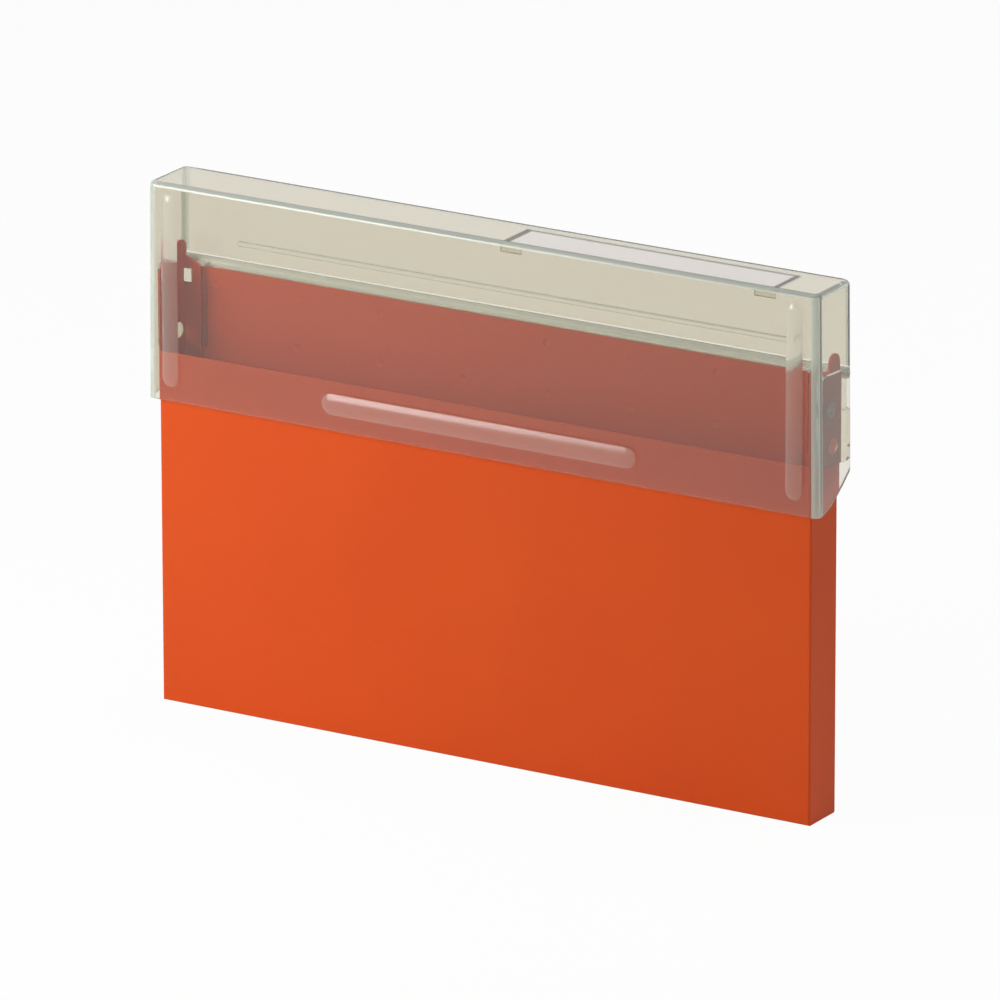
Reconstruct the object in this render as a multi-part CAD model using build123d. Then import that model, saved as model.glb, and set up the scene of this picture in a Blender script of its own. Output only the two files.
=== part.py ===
from build123d import *
from math import cos, radians, sin, sqrt, tan
import os

# Document case: a folded case of orange sheet, a clear frame welded round its top,
# and a clear flip lid that turns on two pins at the frame's rear top corners.
# Millimetres, +X to the right, +Y to the back, +Z up.
# Pieces are drawn with y = 0 on the case's front face and z = 0 on its underside,
# and are moved last, so that the origin lies under the middle of the whole object.

# Case, folded from one sheet
CASE_WIDTH = 320.0
CASE_DEPTH = 21.3
SHEET = 1.0
FRONT_HEIGHT = 157.0
BACK_HEIGHT = 191.0
SIDE_RISE = 4.0
SIDE_CORNER_RADIUS = 4.0
EAR_HEIGHT = 7.0
EAR_WIDTH = 8.4
FLAP_WIDTH = 8.5
FLAP_BOTTOM = 4.0
FOLD_RADIUS = 0.8

# Weld marks in the case's back panel, in rows from its top edge down
WELD_PITCH = 41.1
WELD_END_MARGIN = 5.0
WELD_ROW_DROPS = (6.9, 29.3)
WELD_DIAMETER = 3.6
WELD_DEPTH = 0.4

# Clear frame: back plate, hinge barrel, cheeks, end stops and what locates the sheet
FRAME_FIT = 0.05
PLATE_THICKNESS = 2.45
PLATE_DROP = 37.0
CHEEK_THICKNESS = 1.75
CHEEK_FRONT_INSET = 3.0
CHEEK_CORNER_RADIUS = 3.0
BARREL_RADIUS = 2.4
BARREL_RISE = 1.0
END_STOP_HEIGHT = 15.0
END_STOP_DROP = 15.5
END_STOP_WIDTH = 6.0
END_STOP_CHAMFER = 1.0
END_STOP_PROUD = 0.3
CLIP_WIDTH = 2.6
CLIP_THICKNESS = 1.6
CLIP_BRIDGE = 1.55
CLIP_LENGTH = 35.0
PEG_DIAMETER = 6.8
PEG_CLEARANCE = 0.15
PEG_INSET_FROM_BACK = 6.5
PEG_DROP = 28.5
HOOK_WIDTH = 3.5
HOOK_HEIGHT = 5.8
HOOK_DROP = 4.9
HOOK_PROUD = 0.5
HOOK_CLEARANCE = 0.2

# Rivets that hold the cheeks to the case's sides
RIVET_SHANK_DIAMETER = 3.0
RIVET_HEAD_DIAMETER = 6.4
RIVET_HEAD_THICKNESS = 0.8
RIVET_TAIL_DIAMETER = 4.6
RIVET_TAIL_THICKNESS = 0.6
RIVET_DROP = 11.6
RIVET_SLOT_WIDTH = 0.9
RIVET_SLOT_DEPTH = 0.4
RIVET_SLOT_LENGTH = 4.2
RIVET_HEAD_CLEARANCE = 0.1

# Hinge pins
PIN_RADIUS = 1.2
PIN_RUNNING_CLEARANCE = 0.05
PIN_GRIP = 8.0
PIN_RECESS = 0.9
PIN_CHAMFER = 0.3

# Lid
LID_WALL = 2.0
LID_FRONT_CLEARANCE = 0.5
LID_SIDE_CLEARANCE = 0.6
LID_BACK_CLEARANCE = 1.2
LID_HEIGHT_ABOVE_SIDES = 37.3
LID_SKIRT_OVERLAP = 21.0
LID_DRAFT = 0.6
LID_UPRIGHT_RADIUS = 4.0
LID_TOP_RADIUS = 2.4
LID_INNER_RADIUS = 2.0
HEEL_CLEARANCE = 0.6
SIDE_REAR_TRIM = 0.7
SKIRT_FRONT_RUN = 10.0
SKIRT_FRONT_RISE = 2.5
SKIRT_REAR_RISE = 18.0
SKIRT_SWEEP_BULGE = 0.44

# Raised forms on the lid
RIB_WIDTH = 8.0
RIB_LENGTH = 85.3
RIB_PROUD = 1.5
RIB_INSET_FROM_SIDE = 11.0
RIB_DROP_FROM_TOP = 4.5
GRIP_LENGTH = 154.0
GRIP_HEIGHT = 9.3
GRIP_PROUD = 1.5
GRIP_RISE_FROM_SKIRT = 7.0
BEAD_LENGTH = 271.0
BEAD_WIDTH = 2.4
BEAD_PROUD = 0.8
BEAD_EDGE_RADIUS = 0.72
BEAD_RISE_FROM_HEEL = 7.0

# Label: a card in a shallow seat in the lid's top, under a clear cover
LABEL_SEAT_LENGTH = 132.3
LABEL_SEAT_DEPTH = 22.0
LABEL_SEAT_SINK = 1.2
LABEL_SEAT_LEFT = 11.5
LABEL_COVER_THICKNESS = 0.9
LABEL_COVER_CLEARANCE = 0.1
LABEL_TAB_LENGTH = 10.0
LABEL_TAB_DROP = 3.0
LABEL_TAB_THICKNESS = 1.0
CARD_THICKNESS = 0.25
CARD_FRONT_INSET = 1.6
CARD_END_MARGIN = 3.1
CARD_REAR_MARGIN = 1.9

# Overshoot of cutting tools past the faces that they cut
PAST = 1.0

# Places that follow from the sizes above
CASE_HALF = CASE_WIDTH / 2
SIDE_HEIGHT = BACK_HEIGHT + SIDE_RISE
SIDE_INNER = CASE_HALF - SHEET
BACK_INNER_Y = CASE_DEPTH - SHEET
CHEEK_INNER = CASE_HALF + FRAME_FIT
CHEEK_OUTER = CHEEK_INNER + CHEEK_THICKNESS
PLATE_FRONT_Y = CASE_DEPTH + FRAME_FIT
PLATE_REAR_Y = PLATE_FRONT_Y + PLATE_THICKNESS
PLATE_BOTTOM = BACK_HEIGHT - PLATE_DROP
HINGE_Z = BACK_HEIGHT + BARREL_RISE
LID_FRONT_INNER_Y = -LID_FRONT_CLEARANCE
LID_FRONT_Y = LID_FRONT_INNER_Y - LID_WALL
LID_BACK_INNER_Y = PLATE_REAR_Y + LID_BACK_CLEARANCE
LID_BACK_Y = LID_BACK_INNER_Y + LID_WALL
HINGE_Y = LID_BACK_Y - BARREL_RADIUS
LID_TOP = SIDE_HEIGHT + LID_HEIGHT_ABOVE_SIDES
LID_BOTTOM = FRONT_HEIGHT - LID_SKIRT_OVERLAP
HEEL_Z = HINGE_Z + BARREL_RADIUS + HEEL_CLEARANCE
DRAFT_RUN = tan(radians(LID_DRAFT))
LID_INNER_HALF_TOP = CHEEK_OUTER + LID_SIDE_CLEARANCE - (LID_TOP - HINGE_Z) * DRAFT_RUN
LID_OUTER_HALF_TOP = LID_INNER_HALF_TOP + LID_WALL
RIVET_Y = CASE_DEPTH / 2
RIVET_Z = BACK_HEIGHT - RIVET_DROP
PEG_Y = CASE_DEPTH - PEG_INSET_FROM_BACK
PEG_Z = BACK_HEIGHT - PEG_DROP
HOOK_TOP = BACK_HEIGHT - HOOK_DROP + HOOK_HEIGHT / 2
FLAP_INNER = SIDE_INNER - FLAP_WIDTH
WELD_COLUMNS = int(2 * (FLAP_INNER - WELD_END_MARGIN) / WELD_PITCH) + 1
END_STOP_TOP = BACK_HEIGHT - END_STOP_DROP
END_STOP_REAR_Y = LID_BACK_Y + END_STOP_PROUD
CARD_LENGTH = LABEL_SEAT_LENGTH - 2 * CARD_END_MARGIN
CARD_DEPTH = LABEL_SEAT_DEPTH - CARD_FRONT_INSET - CARD_REAR_MARGIN
FRONT_MOST_Y = LID_FRONT_Y - max(RIB_PROUD, GRIP_PROUD)
DEPTH_CENTRE = (FRONT_MOST_Y + END_STOP_REAR_Y) / 2


def block(x0, x1, y0, y1, z0, z1):
    """A box between two corners."""
    middle = Pos((x0 + x1) / 2, (y0 + y1) / 2, (z0 + z1) / 2)
    return middle * Box(x1 - x0, y1 - y0, z1 - z0)


def prism_along_x(face, x0, x1):
    """A face drawn in the Y-Z plane, carried from x0 to x1."""
    return Pos(x0, 0, 0) * extrude(face, x1 - x0, dir=(1, 0, 0))


def rod_along_x(radius, x0, x1, y, z):
    """A round bar along X."""
    return Pos((x0 + x1) / 2, y, z) * Rot(0, 90, 0) * Cylinder(radius, x1 - x0)


def pad_on_front(length_x, length_z, proud, edge_radius, x, z, y):
    """A raised, round-ended pad that stands forward of the plane at y."""
    width = min(length_x, length_z)
    turn = 0 if length_x > length_z else 90
    outline = SlotOverall(max(length_x, length_z), width, rotation=turn)
    body = extrude(Plane.XZ * outline, proud)
    rim = body.edges().group_by(Axis.Y)[0]
    return Pos(x, y, z) * fillet(rim, edge_radius)


def domed_bar(length, width, proud):
    """A bar along X with a round back and domed ends, standing forward of y = 0."""
    radius = (width ** 2 / 4 + proud ** 2) / (2 * proud)
    reach = (length - width) / 2
    centre = radius - proud
    end = Sphere(radius)
    body = rod_along_x(radius, -reach, reach, centre, 0)
    body = body + Pos(-reach, centre, 0) * end + Pos(reach, centre, 0) * end
    return body & block(-length, length, -proud - PAST, 0, -width, width)


def mirrored(piece):
    """The same piece on the left side."""
    return mirror(piece, Plane.YZ)


def side_wall_outline():
    """A side of the case: a rounded front top corner and a round-topped ear at the rear."""
    ear_front = CASE_DEPTH - EAR_WIDTH
    ear_radius = EAR_WIDTH / 2
    corner = SIDE_CORNER_RADIUS
    arc_step = corner * (1 - sqrt(0.5))
    with BuildSketch(Plane.YZ) as drawn:
        with BuildLine():
            Polyline((0, SIDE_HEIGHT - corner), (0, 0), (CASE_DEPTH, 0),
                     (CASE_DEPTH, SIDE_HEIGHT + EAR_HEIGHT - ear_radius))
            ThreePointArc((CASE_DEPTH, SIDE_HEIGHT + EAR_HEIGHT - ear_radius),
                          (CASE_DEPTH - ear_radius, SIDE_HEIGHT + EAR_HEIGHT),
                          (ear_front, SIDE_HEIGHT + EAR_HEIGHT - ear_radius))
            Polyline((ear_front, SIDE_HEIGHT + EAR_HEIGHT - ear_radius),
                     (ear_front, SIDE_HEIGHT), (corner, SIDE_HEIGHT))
            ThreePointArc((corner, SIDE_HEIGHT), (arc_step, SIDE_HEIGHT - arc_step),
                          (0, SIDE_HEIGHT - corner))
        make_face()
    return drawn.sketch


def glue_flap():
    """The right side's flap, folded against the back panel, its top cut off at a slant."""
    outline = Plane.XZ * Polygon((FLAP_INNER, FLAP_BOTTOM), (SIDE_INNER, FLAP_BOTTOM),
                                 (SIDE_INNER, SIDE_HEIGHT), (FLAP_INNER, BACK_HEIGHT),
                                 align=None)
    return Pos(0, BACK_INNER_Y, 0) * extrude(outline, SHEET)


def weld_marks():
    """Round dents left where the back panel is spot welded to the frame's plate."""
    ball_radius = (WELD_DIAMETER ** 2 / 4 + WELD_DEPTH ** 2) / (2 * WELD_DEPTH)
    dent = Pos(0, BACK_INNER_Y + WELD_DEPTH - ball_radius, 0) * Sphere(ball_radius)
    first = -WELD_PITCH * (WELD_COLUMNS - 1) / 2
    return [Pos(first + column * WELD_PITCH, 0, BACK_HEIGHT - drop) * dent
            for drop in WELD_ROW_DROPS for column in range(WELD_COLUMNS)]


def hook_window():
    """The window in the back corner of the sheet that the right hook passes through."""
    gap = HOOK_CLEARANCE
    return block(SIDE_INNER - HOOK_WIDTH - 2 * gap, SIDE_INNER, BACK_INNER_Y - SHEET - PAST,
                 CASE_DEPTH + PAST, HOOK_TOP - HOOK_HEIGHT - gap, HOOK_TOP + gap)


def case_body():
    """The orange case: front, bottom, back, sides and flaps, folded from one sheet."""
    side = prism_along_x(side_wall_outline(), SIDE_INNER, CASE_HALF)
    front = block(-CASE_HALF, CASE_HALF, 0, SHEET, 0, FRONT_HEIGHT)
    bottom = block(-CASE_HALF, CASE_HALF, 0, CASE_DEPTH, 0, SHEET)
    back = block(-CASE_HALF, CASE_HALF, BACK_INNER_Y, CASE_DEPTH, 0, BACK_HEIGHT)
    flap = glue_flap()
    folded = front + bottom + back + side + mirrored(side) + flap + mirrored(flap)
    rivet_hole = rod_along_x(RIVET_SHANK_DIAMETER / 2, SIDE_INNER - PAST, CASE_HALF + PAST,
                             RIVET_Y, RIVET_Z)
    peg_hole = rod_along_x(PEG_DIAMETER / 2 + PEG_CLEARANCE, SIDE_INNER - PAST,
                           CASE_HALF + PAST, PEG_Y, PEG_Z)
    for cut in (rivet_hole, peg_hole, hook_window()):
        folded = folded - cut - mirrored(cut)
    folded = folded - weld_marks()
    uprights = [edge for edge in folded.edges().filter_by(Axis.Z)
                if abs(abs(edge.center().X) - CASE_HALF) < 0.01 and edge.center().Y < 0.01]
    feet = [edge for edge in folded.edges().filter_by(Axis.X)
            if edge.center().Z < 0.01 and edge.length > CASE_HALF]
    return fillet(uprights + feet, FOLD_RADIUS)


def cheek_outline():
    """The right cheek from the side, with the stepped rear edge behind the case."""
    front = CHEEK_FRONT_INSET
    stop_bottom = END_STOP_TOP - END_STOP_HEIGHT
    slant = END_STOP_CHAMFER
    shelf = END_STOP_REAR_Y - slant
    return Plane.YZ * Polygon(
        (front, PLATE_BOTTOM + 2 * slant), (front, SIDE_HEIGHT),
        (HINGE_Y - BARREL_RADIUS, SIDE_HEIGHT - slant), (HINGE_Y, HINGE_Z),
        (PLATE_REAR_Y, HINGE_Z - BARREL_RADIUS),
        (PLATE_REAR_Y, END_STOP_TOP + 2 * slant), (END_STOP_REAR_Y, END_STOP_TOP),
        (END_STOP_REAR_Y, stop_bottom), (shelf, stop_bottom - slant),
        (shelf, PLATE_BOTTOM + slant), (shelf - slant, PLATE_BOTTOM),
        align=None)


def sheet_clip():
    """A narrow leg over the back panel's top edge, down its inside."""
    x0 = FLAP_INNER - HOOK_CLEARANCE - CLIP_WIDTH
    x1 = x0 + CLIP_WIDTH
    outer = BACK_INNER_Y - FRAME_FIT
    inner = outer - CLIP_THICKNESS
    under = BACK_HEIGHT + FRAME_FIT
    top = under + CLIP_BRIDGE
    leg = block(x0, x1, inner, outer, BACK_HEIGHT - CLIP_LENGTH, top)
    bridge = block(x0, x1, inner, HINGE_Y, under, top)
    return leg + bridge


def corner_hook():
    """A hook on the plate that passes through the sheet's window and catches its edge."""
    x1 = SIDE_INNER - HOOK_CLEARANCE
    x0 = x1 - HOOK_WIDTH
    inner = BACK_INNER_Y - SHEET
    stem = block(x0, x1, inner, PLATE_FRONT_Y + PLATE_THICKNESS / 2, HOOK_TOP - HOOK_HEIGHT, HOOK_TOP)
    lip = block(x0, x1, inner - HOOK_PROUD, inner, HOOK_TOP - HOOK_HEIGHT - HOOK_PROUD, HOOK_TOP)
    return stem + lip


def hinge_frame():
    """The clear frame that stiffens the case's top and carries the lid."""
    plate = block(-CHEEK_OUTER, CHEEK_OUTER, PLATE_FRONT_Y, PLATE_REAR_Y, PLATE_BOTTOM, HINGE_Z)
    barrel = rod_along_x(BARREL_RADIUS, -CHEEK_OUTER, CHEEK_OUTER, HINGE_Y, HINGE_Z)
    cheek = prism_along_x(cheek_outline(), CHEEK_INNER, CHEEK_OUTER)
    front_corners = cheek.edges().filter_by(Axis.X).group_by(Axis.Y)[0]
    cheek = fillet(front_corners, CHEEK_CORNER_RADIUS)
    stop = block(CHEEK_OUTER - END_STOP_WIDTH, CHEEK_OUTER, PLATE_REAR_Y, END_STOP_REAR_Y,
                 END_STOP_TOP - END_STOP_HEIGHT, END_STOP_TOP)
    peg = rod_along_x(PEG_DIAMETER / 2, SIDE_INNER, CHEEK_INNER, PEG_Y, PEG_Z)
    end = cheek + stop + peg + sheet_clip() + corner_hook()
    frame = plate + barrel + end + mirrored(end)
    bore = rod_along_x(PIN_RADIUS + PIN_RUNNING_CLEARANCE,
                       CHEEK_OUTER - PIN_GRIP - PIN_CHAMFER, CHEEK_OUTER + PAST, HINGE_Y, HINGE_Z)
    rivet_hole = rod_along_x(RIVET_SHANK_DIAMETER / 2, CASE_HALF - PAST, CHEEK_OUTER + PAST,
                             RIVET_Y, RIVET_Z)
    rivet_seat = rod_along_x(RIVET_HEAD_DIAMETER / 2 + RIVET_HEAD_CLEARANCE,
                             CHEEK_OUTER - RIVET_HEAD_THICKNESS, CHEEK_OUTER + PAST,
                             RIVET_Y, RIVET_Z)
    for cut in (bore, rivet_hole, rivet_seat):
        frame = frame - cut - mirrored(cut)
    return frame


def side_rivet():
    """The right rivet: a flush head with a cross recess, a shank and a formed tail."""
    head_inner = CHEEK_OUTER - RIVET_HEAD_THICKNESS
    head = rod_along_x(RIVET_HEAD_DIAMETER / 2, head_inner, CHEEK_OUTER, RIVET_Y, RIVET_Z)
    shank = rod_along_x(RIVET_SHANK_DIAMETER / 2, SIDE_INNER, head_inner, RIVET_Y, RIVET_Z)
    tail = rod_along_x(RIVET_TAIL_DIAMETER / 2, SIDE_INNER - RIVET_TAIL_THICKNESS, SIDE_INNER,
                       RIVET_Y, RIVET_Z)
    arm = Pos(CHEEK_OUTER, RIVET_Y, RIVET_Z)
    wide = arm * Box(2 * RIVET_SLOT_DEPTH, RIVET_SLOT_LENGTH, RIVET_SLOT_WIDTH)
    tall = arm * Box(2 * RIVET_SLOT_DEPTH, RIVET_SLOT_WIDTH, RIVET_SLOT_LENGTH)
    return head + shank + tail - wide - tall


def hinge_pin():
    """The right hinge pin, pressed into the lid's side and turning in the barrel."""
    outer = LID_OUTER_HALF_TOP + (LID_TOP - HINGE_Z) * DRAFT_RUN - PIN_RECESS
    pin = rod_along_x(PIN_RADIUS, CHEEK_OUTER - PIN_GRIP, outer, HINGE_Y, HINGE_Z)
    return chamfer(pin.edges().group_by(Axis.X)[0], PIN_CHAMFER)


def drafted_block(half_width, y0, y1, z0, z1, upright_radius):
    """A block of the given half width at the lid's top, with sides that spread downwards."""
    foot = half_width + (LID_TOP - z0) * DRAFT_RUN
    head = half_width + (LID_TOP - z1) * DRAFT_RUN
    outline = Plane.XZ * Polygon((-foot, z0), (foot, z0), (head, z1), (-head, z1), align=None)
    body = Pos(0, y1, 0) * extrude(outline, y1 - y0)
    if upright_radius == 0:
        return body
    uprights = [edge for edge in body.edges()
                if abs(edge.length - (z1 - z0) / cos(radians(LID_DRAFT))) < 0.01]
    return fillet(uprights, upright_radius)


def lid_outer():
    """The lid's outer form, before it is hollowed."""
    body = drafted_block(LID_OUTER_HALF_TOP, LID_FRONT_Y, LID_BACK_Y, LID_BOTTOM, LID_TOP,
                         LID_UPRIGHT_RADIUS)
    return fillet(body.edges().group_by(Axis.Z)[-1], LID_TOP_RADIUS)


def skirt_cutter():
    """What is cut from under the lid's sides, along the edge that sweeps up to the rear."""
    start = (LID_FRONT_Y + LID_WALL, LID_BOTTOM)
    knee = (LID_FRONT_Y + SKIRT_FRONT_RUN, LID_BOTTOM + SKIRT_FRONT_RISE)
    end = (LID_BACK_Y + PAST, LID_BOTTOM + SKIRT_REAR_RISE)
    middle = (knee[0] + (end[0] - knee[0]) * 0.5, knee[1] + (end[1] - knee[1]) * SKIRT_SWEEP_BULGE)
    below = LID_BOTTOM - PAST
    with BuildSketch(Plane.YZ) as drawn:
        with BuildLine():
            Polyline(end, (end[0], below), (start[0], below), start, knee)
            ThreePointArc(knee, middle, end)
        make_face()
    reach = CASE_WIDTH
    return prism_along_x(drawn.sketch, -reach, reach)


def label_seat(gap):
    """The label's seat in the lid's top and its two notches in the front, less a gap."""
    x0 = LABEL_SEAT_LEFT + gap
    x1 = LABEL_SEAT_LEFT + LABEL_SEAT_LENGTH - gap
    front = LID_FRONT_Y - PAST
    floor = LID_TOP - LABEL_SEAT_SINK
    seat = block(x0, x1, front, LID_FRONT_Y + LABEL_SEAT_DEPTH - gap, floor, LID_TOP + PAST)
    tab_y = LID_FRONT_Y + LABEL_TAB_THICKNESS - gap
    tab_z = floor - LABEL_TAB_DROP + gap
    left = block(x0, x0 + LABEL_TAB_LENGTH - 2 * gap, front, tab_y, tab_z, floor)
    right = block(x1 - LABEL_TAB_LENGTH + 2 * gap, x1, front, tab_y, tab_z, floor)
    return seat + left + right


def lid():
    """The clear lid: front, top, back and drafted sides, with its raised ribs and grip."""
    hollow = drafted_block(LID_INNER_HALF_TOP, LID_FRONT_INNER_Y, LID_BACK_INNER_Y,
                           LID_BOTTOM - PAST, LID_TOP - LID_WALL, LID_INNER_RADIUS)
    open_back = drafted_block(LID_INNER_HALF_TOP, LID_BACK_INNER_Y - LID_WALL,
                              LID_BACK_Y + PAST, LID_BOTTOM - PAST, HEEL_Z, 0)
    rear_trim = block(-CASE_WIDTH, CASE_WIDTH, LID_BACK_Y - SIDE_REAR_TRIM, LID_BACK_Y + PAST,
                      LID_BOTTOM - PAST, HEEL_Z)
    shell = lid_outer() - hollow - open_back - rear_trim - skirt_cutter() - label_seat(0)
    rib_x = LID_OUTER_HALF_TOP - RIB_INSET_FROM_SIDE
    rib_z = LID_TOP - RIB_DROP_FROM_TOP - RIB_LENGTH / 2
    upright = Rot(0, 90, 0)
    rib = Pos(rib_x, LID_FRONT_Y, rib_z) * upright * domed_bar(RIB_LENGTH, RIB_WIDTH, RIB_PROUD)
    grip_z = LID_BOTTOM + GRIP_RISE_FROM_SKIRT + GRIP_HEIGHT / 2
    grip = Pos(0, LID_FRONT_Y, grip_z) * domed_bar(GRIP_LENGTH, GRIP_HEIGHT, GRIP_PROUD)
    bead = pad_on_front(BEAD_LENGTH, BEAD_WIDTH, BEAD_PROUD, BEAD_EDGE_RADIUS, 0,
                        HEEL_Z + BEAD_RISE_FROM_HEEL, LID_BACK_INNER_Y)
    shell = shell + rib + mirrored(rib) + grip + bead
    pin_hole = rod_along_x(PIN_RADIUS, CHEEK_OUTER, CASE_WIDTH, HINGE_Y, HINGE_Z)
    return shell - pin_hole - mirrored(pin_hole)


def label_card():
    """The bare paper card."""
    middle = LABEL_SEAT_LEFT + LABEL_SEAT_LENGTH / 2
    floor = LID_TOP - LABEL_SEAT_SINK
    front = LID_FRONT_Y + CARD_FRONT_INSET
    return block(middle - CARD_LENGTH / 2, middle + CARD_LENGTH / 2, front, front + CARD_DEPTH,
                 floor, floor + CARD_THICKNESS)


def label_cover():
    """The clear cover over the card, flush with the lid, with two tabs down its front."""
    plain = label_seat(LABEL_COVER_CLEARANCE) & lid_outer()
    middle = LABEL_SEAT_LEFT + LABEL_SEAT_LENGTH / 2
    floor = LID_TOP - LABEL_SEAT_SINK
    half = LABEL_SEAT_LENGTH / 2 - LABEL_TAB_LENGTH / 4
    pocket = block(middle - half, middle + half, LID_FRONT_Y + LABEL_TAB_THICKNESS,
                   LID_FRONT_Y + LABEL_SEAT_DEPTH - LABEL_TAB_THICKNESS, floor - PAST,
                   LID_TOP - LABEL_COVER_THICKNESS)
    return plain - pocket


PIECES = {
    "case_body": case_body(),
    "hinge_frame": hinge_frame(),
    "rivet_right": side_rivet(),
    "rivet_left": mirrored(side_rivet()),
    "hinge_pin_right": hinge_pin(),
    "hinge_pin_left": mirrored(hinge_pin()),
    "lid": lid(),
    "label_card": label_card(),
    "label_cover": label_cover(),
}

os.makedirs("parts", exist_ok=True)
for name, piece in PIECES.items():
    export_step(Pos(0, -DEPTH_CENTRE, 0) * piece, f"parts/{name}.step")

print("hinge axis y", round(HINGE_Y - DEPTH_CENTRE, 3), "z", round(HINGE_Z, 3))
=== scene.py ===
import bpy
from math import pi, radians
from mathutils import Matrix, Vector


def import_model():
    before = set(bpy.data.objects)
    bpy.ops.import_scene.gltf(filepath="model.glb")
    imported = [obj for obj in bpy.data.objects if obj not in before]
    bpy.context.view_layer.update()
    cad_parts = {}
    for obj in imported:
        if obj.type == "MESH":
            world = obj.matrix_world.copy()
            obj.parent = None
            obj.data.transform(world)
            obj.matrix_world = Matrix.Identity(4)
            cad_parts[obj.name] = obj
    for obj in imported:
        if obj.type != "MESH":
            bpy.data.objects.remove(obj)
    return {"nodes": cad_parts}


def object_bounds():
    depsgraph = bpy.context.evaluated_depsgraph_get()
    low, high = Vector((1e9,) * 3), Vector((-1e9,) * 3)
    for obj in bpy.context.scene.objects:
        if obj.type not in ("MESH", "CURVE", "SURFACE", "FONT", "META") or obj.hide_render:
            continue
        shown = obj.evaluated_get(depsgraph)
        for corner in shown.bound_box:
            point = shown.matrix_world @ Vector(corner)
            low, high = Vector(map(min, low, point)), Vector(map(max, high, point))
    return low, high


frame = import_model()
NODES = frame["nodes"]
cad_low, cad_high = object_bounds()

# Lengths below are in metres, and this is one millimetre
MM = 0.001

# Camera: where it stands, and how it is turned
PHOTO_SIZE_PX = 1000
FOCAL_LENGTH_PX = 12324.7
SENSOR_WIDTH_MM = 36.0
CAMERA_PLACE = (2.56590, -4.22173, 1.70891)
CAMERA_YAW = 31.2663
CAMERA_PITCH = 17.8992
CAMERA_ROLL = -0.1105
CAMERA_REACH = 100

# Floor: its half length, and how much of it is white where it is seen
FLOOR_HALF = 12.0
FLOOR_WHITE_SHARE = 0.96


def linear(hex_colour):
    """A linear RGBA colour from an sRGB hex one."""
    channels = [int(hex_colour[i:i + 2], 16) / 255 for i in (1, 3, 5)]
    return [c / 12.92 if c <= 0.04045 else ((c + 0.055) / 1.055) ** 2.4 for c in channels] + [1.0]


def add_node(tree, kind, values=None, links=None, **settings):
    """A node with its settings, its sockets' values and the outputs that feed it."""
    made = tree.nodes.new(kind)
    for name, value in settings.items():
        setattr(made, name, value)
    for socket, value in (values or {}).items():
        made.inputs[socket].default_value = value
    for socket, source in (links or {}).items():
        tree.links.new(source, made.inputs[socket])
    return made


def new_material(name):
    """An empty node material and its tree."""
    material = bpy.data.materials.new(name)
    material.use_nodes = True
    material.node_tree.nodes.clear()
    return material, material.node_tree


def give(node, material):
    """The CAD node's main material, on all its faces."""
    mesh = NODES[node].data
    mesh.materials.clear()
    mesh.materials.append(material)
    for face in mesh.polygons:
        face.material_index = 0


# Satin polypropylene sheet: extruded, with a fine even matte grain, a soft sheen and
# a little light carried inside, which makes its cut edges glow
SHEET_GRAIN = 0.35 * MM
SHEET_GRAIN_DEPTH = 0.05 * MM
SHEET_CLOUD = 60 * MM
SHEET_GLOW_DEPTH = 1.0 * MM


def satin_polypropylene_sheet():
    material, tree = new_material("satin_polypropylene_sheet")
    place = add_node(tree, "ShaderNodeTexCoord")
    cloud = add_node(tree, "ShaderNodeTexNoise", {"Scale": 1 / SHEET_CLOUD, "Detail": 2.0},
                     {"Vector": place.outputs["Object"]})
    colour = add_node(tree, "ShaderNodeMix", {6: linear("#E65A20"), 7: linear("#DE5320")},
                      {0: cloud.outputs["Fac"]}, data_type="RGBA")
    grain = add_node(tree, "ShaderNodeTexNoise", {"Scale": 1 / SHEET_GRAIN, "Detail": 1.0},
                     {"Vector": place.outputs["Object"]})
    rough = add_node(tree, "ShaderNodeMapRange", {"To Min": 0.40, "To Max": 0.50},
                     {"Value": cloud.outputs["Fac"]})
    bump = add_node(tree, "ShaderNodeBump", {"Strength": 0.015, "Distance": SHEET_GRAIN_DEPTH},
                    {"Height": grain.outputs["Fac"]})
    skin = add_node(tree, "ShaderNodeBsdfPrincipled",
                    {"IOR": 1.49, "Specular IOR Level": 0.12, "Subsurface Weight": 0.12,
                     "Subsurface Radius": (1.0, 0.25, 0.1), "Subsurface Scale": SHEET_GLOW_DEPTH},
                    {"Base Color": colour.outputs[2], "Roughness": rough.outputs["Result"],
                     "Normal": bump.outputs["Normal"]})
    add_node(tree, "ShaderNodeOutputMaterial", {}, {"Surface": skin.outputs["BSDF"]})
    return material


# Clear plastic: the tint that each face gives, and the greener one of its thick edges
CLEAR_TINT = (0.80, 0.77, 0.68, 1)
EDGE_TINT = (0.76, 0.81, 0.72, 1)
CLEAR_IOR = 1.45
# Lower than real plastic has, so that the frame, welded to the sheet, shines less than the lid
WELDED_IOR = 1.2

# Slow waves of a moulded face
RIPPLE_LENGTH = 25 * MM
RIPPLE_DEPTH = 0.2 * MM


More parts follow.
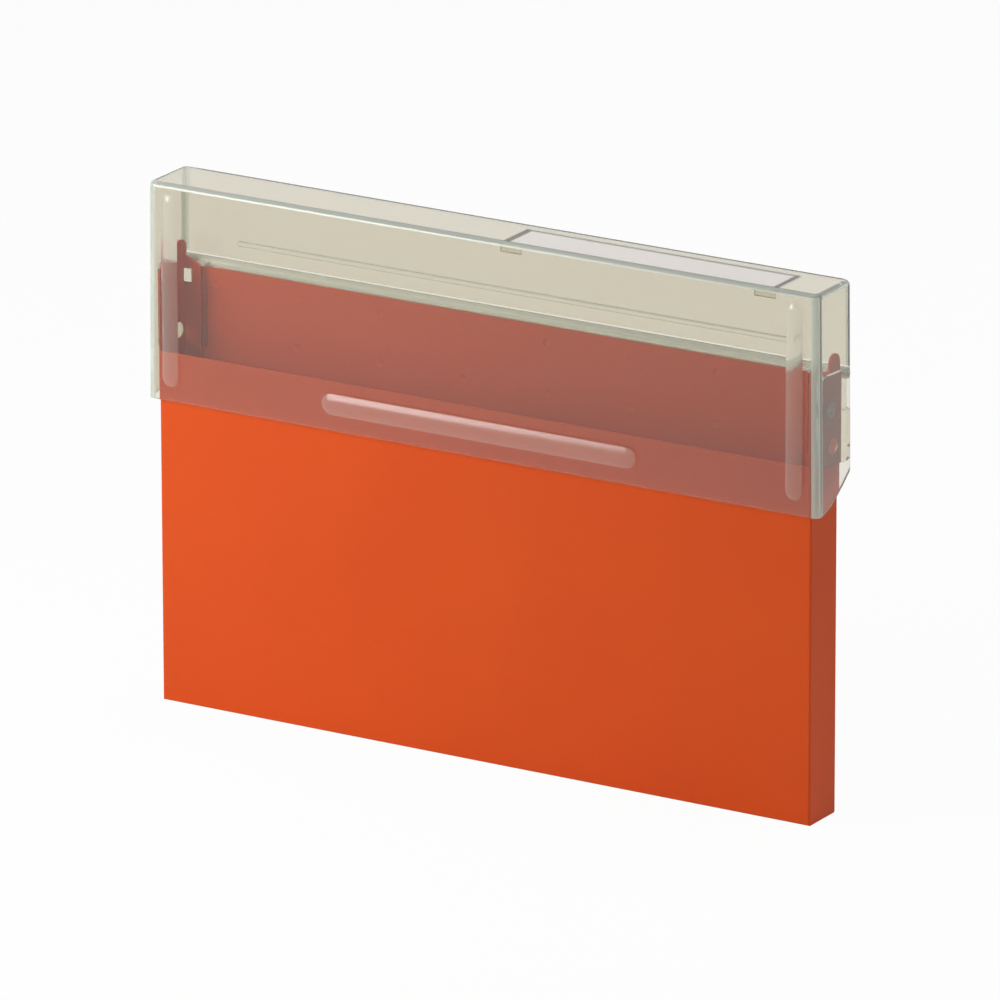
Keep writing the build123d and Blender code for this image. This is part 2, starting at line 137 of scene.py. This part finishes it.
def clear_moulding(name, roughness, milkiness, lamp_share, ripple=0.0, tint=CLEAR_TINT, ior=CLEAR_IOR):
    """Clear moulded plastic: glossy, with a warm tint and a little milkiness, through which
    a lamp's light keeps the given share at each face."""
    material, tree = new_material(name)
    place = add_node(tree, "ShaderNodeTexCoord")
    wave = add_node(tree, "ShaderNodeTexNoise", {"Scale": 1 / RIPPLE_LENGTH, "Detail": 1.0},
                    {"Vector": place.outputs["Object"]})
    bump = add_node(tree, "ShaderNodeBump", {"Strength": ripple, "Distance": RIPPLE_DEPTH},
                    {"Height": wave.outputs["Fac"]})
    body = add_node(tree, "ShaderNodeBsdfPrincipled",
                    {"Base Color": tint, "Transmission Weight": 1 - milkiness,
                     "IOR": ior, "Roughness": roughness},
                    {"Normal": bump.outputs["Normal"]})
    path = add_node(tree, "ShaderNodeLightPath")
    through = add_node(tree, "ShaderNodeBsdfTransparent",
                       {"Color": (lamp_share, lamp_share, lamp_share, 1)})
    mixed = add_node(tree, "ShaderNodeMixShader", {}, {0: path.outputs["Is Shadow Ray"],
                     1: body.outputs["BSDF"], 2: through.outputs["BSDF"]})
    add_node(tree, "ShaderNodeOutputMaterial", {}, {"Surface": mixed.outputs["Shader"]})
    return material


# Smooth coated card: almost white with a lilac cast, with faint fibre
CARD_FIBRE = 1.2 * MM


def coated_card():
    material, tree = new_material("smooth_coated_card")
    place = add_node(tree, "ShaderNodeTexCoord")
    fibre = add_node(tree, "ShaderNodeTexNoise", {"Scale": 1 / CARD_FIBRE, "Detail": 4.0},
                     {"Vector": place.outputs["Object"]})
    colour = add_node(tree, "ShaderNodeMix", {6: linear("#E6E3EF"), 7: linear("#DEDBE8")},
                      {0: fibre.outputs["Fac"]}, data_type="RGBA")
    skin = add_node(tree, "ShaderNodeBsdfPrincipled", {"Roughness": 0.6, "IOR": 1.5},
                    {"Base Color": colour.outputs[2]})
    add_node(tree, "ShaderNodeOutputMaterial", {}, {"Surface": skin.outputs["BSDF"]})
    return material


# How far the lid's ribs and grip stand forward of its front
BAR_PROUD = 1.5 * MM
BAR_FOOT = 0.05 * MM

# A face with no part of its normal as large as this belongs to a rounded edge, and one
# whose normal rises less than UPRIGHT_RISE stands upright
EDGE_LEAN = 0.995
UPRIGHT_RISE = 1 - EDGE_LEAN

# The label seat's upright walls lie within this depth of the lid's top
SEAT_REACH = 1.3 * MM

# Where the edges' and the bars' materials stand in a node's list, after its main one
EDGE_PLACE = 1
BAR_PLACE = 2


def finish_edges(node, edges):
    """A painted highlight: the paler, milkier finish on a clear piece's rounded edges and on the label
    seat's walls.
    """
    piece = NODES[node]
    piece.data.materials.append(edges)
    for face in piece.data.polygons:
        lean = max(abs(part) for part in face.normal) < EDGE_LEAN
        high = (piece.matrix_world @ face.center).z > cad_high[2] - SEAT_REACH
        if lean or (high and abs(face.normal.z) < UPRIGHT_RISE):
            face.material_index = EDGE_PLACE


def finish_bars(bars):
    """The rougher, milkier finish of the lid's ribs and grip, a painted sheen, on the faces forward of
    its front.
    """
    lid = NODES["lid"]
    lid.data.materials.append(bars)
    foot = cad_low[1] + BAR_PROUD - BAR_FOOT
    for face in lid.data.polygons:
        if (lid.matrix_world @ face.center).y < foot:
            face.material_index = BAR_PLACE


def dress():
    """Each CAD node in the finish of the real piece."""
    # The lid is polished, with the slow waves of a thin moulded wall
    shell = clear_moulding("clear_plastic_lid", roughness=0.04, milkiness=0.03, lamp_share=0.60,
                           ripple=0.04)
    # Its ribs and grip are rougher and milkier than the lid, so they read as pale bars: a painted
    # sheen that stands in for the light on their rounded backs
    bars = clear_moulding("painted_sheen_clear_plastic_bars", roughness=0.22, milkiness=0.18,
                          lamp_share=0.64)
    # Rounded edges get a paler, milkier copy of the clear finish that passes more lamp light: a
    # painted highlight along them. Their green cast stands in for their thickness in the line of sight
    edges = clear_moulding("painted_highlight_clear_plastic_edges", roughness=0.18, milkiness=0.50,
                           lamp_share=0.95, tint=EDGE_TINT)
    # The frame is a plain clear moulding behind the lid
    fitting = clear_moulding("clear_plastic_frame", roughness=0.07, milkiness=0.0,
                             lamp_share=0.92, ior=WELDED_IOR)
    # The label cover is the clearest piece, so that the card shows white
    cover = clear_moulding("clear_plastic_cover", roughness=0.03, milkiness=0.02,
                           lamp_share=1.0, ripple=0.02)
    # Rivets and pins are small, dense mouldings
    stud = clear_moulding("clear_plastic_rivet", roughness=0.10, milkiness=0.35,
                          lamp_share=0.90, ior=WELDED_IOR)
    pin = clear_moulding("clear_plastic_pin", roughness=0.08, milkiness=0.05, lamp_share=0.90)
    give("case_body", satin_polypropylene_sheet())
    give("hinge_frame", fitting)
    give("lid", shell)
    give("label_cover", cover)
    for node in ("lid", "hinge_frame", "label_cover"):
        finish_edges(node, edges)
    finish_bars(bars)
    give("label_card", coated_card())
    for side in ("left", "right"):
        give("rivet_" + side, stud)
        give("hinge_pin_" + side, pin)


# A ray with fewer matt bounces than this shows the background
MATT_BOUNCES = 0.5


def background_rays(tree):
    """1 where a ray from the camera, a reflection or a clear piece meets the surface, and 0
    once it has left a matt surface, so that the background lights no matt surface."""
    path = add_node(tree, "ShaderNodeLightPath")
    shiny = add_node(tree, "ShaderNodeMath", {}, {0: path.outputs["Is Camera Ray"],
                     1: path.outputs["Is Glossy Ray"]}, operation="MAXIMUM")
    seen = add_node(tree, "ShaderNodeMath", {}, {0: shiny.outputs[0],
                    1: path.outputs["Is Transmission Ray"]}, operation="MAXIMUM")
    direct = add_node(tree, "ShaderNodeMath", {1: MATT_BOUNCES}, {0: path.outputs["Diffuse Depth"]},
                      operation="LESS_THAN")
    return add_node(tree, "ShaderNodeMath", {}, {0: seen.outputs[0], 1: direct.outputs[0]},
                    operation="MULTIPLY").outputs[0]


def floor():
    """A white floor that keeps a soft shadow."""
    bpy.ops.mesh.primitive_plane_add(size=2 * FLOOR_HALF)
    plane = bpy.context.object
    plane.name = "floor"
    material, tree = new_material("white_studio_floor")
    matt = add_node(tree, "ShaderNodeBsdfDiffuse", {"Color": linear("#F2F2F2")})
    white = add_node(tree, "ShaderNodeEmission", {"Color": (1, 1, 1, 1), "Strength": 1.0})
    share = add_node(tree, "ShaderNodeMath", {1: FLOOR_WHITE_SHARE}, {0: background_rays(tree)},
                     operation="MULTIPLY")
    mixed = add_node(tree, "ShaderNodeMixShader", {}, {0: share.outputs[0],
                     1: matt.outputs["BSDF"], 2: white.outputs["Emission"]})
    add_node(tree, "ShaderNodeOutputMaterial", {}, {"Surface": mixed.outputs["Shader"]})
    plane.data.materials.append(material)


def world(ambient):
    """White where it is seen, and a plain level where it lights."""
    made = bpy.data.worlds.new("studio")
    bpy.context.scene.world = made
    made.use_nodes = True
    tree = made.node_tree
    tree.nodes.clear()
    level = add_node(tree, "ShaderNodeMapRange", {"To Min": ambient, "To Max": 1.0},
                     {"Value": background_rays(tree)})
    sky = add_node(tree, "ShaderNodeBackground", {"Color": (1, 1, 1, 1)},
                   {"Strength": level.outputs["Result"]})
    add_node(tree, "ShaderNodeOutputWorld", {}, {"Surface": sky.outputs["Background"]})


def lamp(name, place, target, size, watts):
    """A square soft light at a place, turned towards a target."""
    data = bpy.data.lights.new(name, "AREA")
    data.energy = watts
    data.size = size
    made = bpy.data.objects.new(name, data)
    bpy.context.scene.collection.objects.link(made)
    made.location = place
    aim = made.location.copy()
    aim.x, aim.y, aim.z = (t - p for t, p in zip(target, place))
    made.rotation_euler = aim.to_track_quat("-Z", "Y").to_euler()
    # A clear piece passes the lamp's light by shadow rays and doesn't show the lamp itself
    made.visible_transmission = False


def camera():
    """The camera at the photograph's viewing angle."""
    data = bpy.data.cameras.new("camera")
    data.sensor_width = SENSOR_WIDTH_MM
    data.lens = FOCAL_LENGTH_PX * SENSOR_WIDTH_MM / PHOTO_SIZE_PX
    data.clip_end = CAMERA_REACH
    made = bpy.data.objects.new("camera", data)
    bpy.context.scene.collection.objects.link(made)
    made.location = CAMERA_PLACE
    made.rotation_euler = (pi / 2 - radians(CAMERA_PITCH), 0, radians(CAMERA_YAW))
    made.rotation_euler.rotate_axis("Z", radians(CAMERA_ROLL))
    bpy.context.scene.camera = made


bpy.ops.object.select_all(action="DESELECT")
dress()
floor()
world(ambient=0.14)
lamp("key", place=(-0.56, -0.58, 0.50), target=(-0.09, 0, 0.12), size=0.42, watts=5.2)
lamp("top", place=(0.1, 0.1, 1.5), target=(0, 0, 0.2), size=0.9, watts=7)
lamp("fill", place=(1.5, -0.9, 0.8), target=(0.1, 0, 0.12), size=1.0, watts=3.1)
lamp("back", place=(0.8, 1.4, 0.6), target=(0, 0, 0.12), size=0.8, watts=3.2)
camera()
bpy.context.scene.view_settings.view_transform = "Standard"
